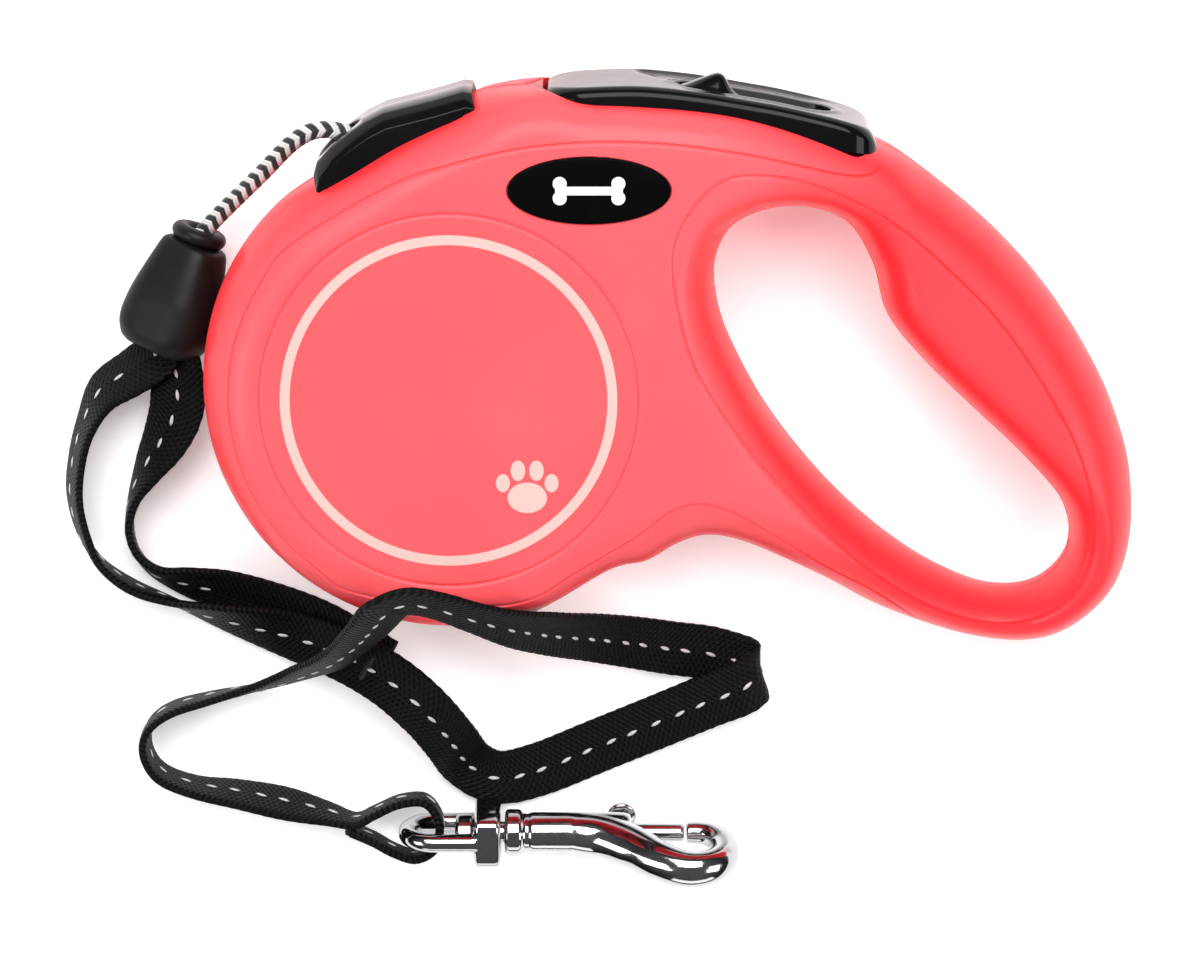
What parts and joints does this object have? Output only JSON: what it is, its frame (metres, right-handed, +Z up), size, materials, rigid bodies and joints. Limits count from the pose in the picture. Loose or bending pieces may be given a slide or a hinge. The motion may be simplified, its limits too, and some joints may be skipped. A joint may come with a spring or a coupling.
{
  "type": "retractable pet leash",
  "caption": "Retractable pet leash: round spool casing with loop handle, brake button, cord, strap and snap hook.",
  "frame": {"origin": "middle of the casing's footprint, on the plane that its back face rests on; the casing lies on its side", "axes": "+X from the cord outlet to the handle end, +Y to the brake button's edge, +Z up out of the front face"},
  "size_m": [0.1904, 0.1467, 0.0454],
  "materials": {
    "red_shell": "satin moulded ABS, very fine texture",
    "black_gloss": "polished black ABS",
    "black_satin": "satin black plastic",
    "bright_plate": "bright nickel-chrome plate on zinc die casting",
    "spring_steel": "plain steel",
    "washer_brass": "plain sheet",
    "braided_cord": "braided polyester, black with pale flecks",
    "webbing": "woven polyester webbing with a pale stitched centre line",
    "bar_tack_thread": "dense bar-tack stitching",
    "drum_plastic": "moulded acetal",
    "natural_nylon": "natural nylon"
  },
  "bodies": {
    "casing": {"housing_front": "red_shell", "housing_back": "red_shell", "badge_front": "black_gloss", "badge_back": "black_gloss", "casing_screws": "spring_steel", "cord_outlet": "black_gloss", "brake_pivot_pin": "spring_steel", "brake_spring": "spring_steel", "plunger_guide": "natural_nylon", "spool_axle": "spring_steel", "axle_washers": "washer_brass", "spring_arbor": "natural_nylon", "cord_inner_run": "braided_cord", "cord_lead": "braided_cord", "cord_crimp": "spring_steel", "cord_end_loop": "braided_cord", "stopper_body": "black_satin", "stopper_bead": "black_satin", "strap_main": "webbing", "strap_inner": "webbing", "strap_joint_tack": "bar_tack_thread", "strap_hook_tack": "bar_tack_thread", "swivel_eye": "bright_plate"},
    "brake": {"brake_button": "black_gloss"},
    "lock": {"brake_lock_slider": "black_satin"},
    "plunger": {"brake_plunger": "natural_nylon"},
    "spool": {"spool_drum": "drum_plastic", "ratchet_flange": "drum_plastic", "cord_winding": "braided_cord", "power_spring": "spring_steel", "spring_cover": "drum_plastic"},
    "hook": {"hook_body": "bright_plate", "swivel_rivet": "bright_plate", "hook_bolt_spring": "spring_steel"},
    "bolt": {"hook_bolt": "bright_plate"}
  },
  "joints": [
    {"name": "spool_spin", "type": "hinge", "parent": "casing", "child": "spool", "pos_m": [-0.038, -0.004, 0.018], "axis": [0, 0, 1], "range_deg": [0, 10800], "stiffness_Nm_per_rad": 0.0005, "springref_deg": -2291.83},
    {"name": "brake_press", "type": "hinge", "parent": "casing", "child": "brake", "pos_m": [-0.0185, 0.0432, 0.018], "axis": [0, 0, -1], "range_deg": [0, 4.5], "stiffness_Nm_per_rad": 2.9, "springref_deg": -2.86, "deforming": ["brake_spring"]},
    {"name": "plunger_slide", "type": "slide", "parent": "casing", "child": "plunger", "axis": [-0.7193, -0.6947, 0], "range_m": [0, 0.003]},
    {"name": "lock_slide", "type": "slide", "parent": "brake", "child": "lock", "axis": [0.9836, -0.1805, 0], "range_m": [0, 0.004]},
    {"name": "hook_swivel", "type": "hinge", "parent": "casing", "child": "hook", "pos_m": [-0.0295, -0.0902, 0.007], "axis": [1, 0, 0], "continuous": true},
    {"name": "bolt_slide", "type": "slide", "parent": "hook", "child": "bolt", "axis": [-1, 0, 0], "range_m": [0, 0.006], "stiffness_N_per_m": 400, "springref_m": -0.004, "deforming": ["hook_bolt_spring"]}
  ],
  "couplings": [
    {"joint": "plunger_slide", "follows": "brake_press", "m_per_rad": 0.0381}
  ]
}
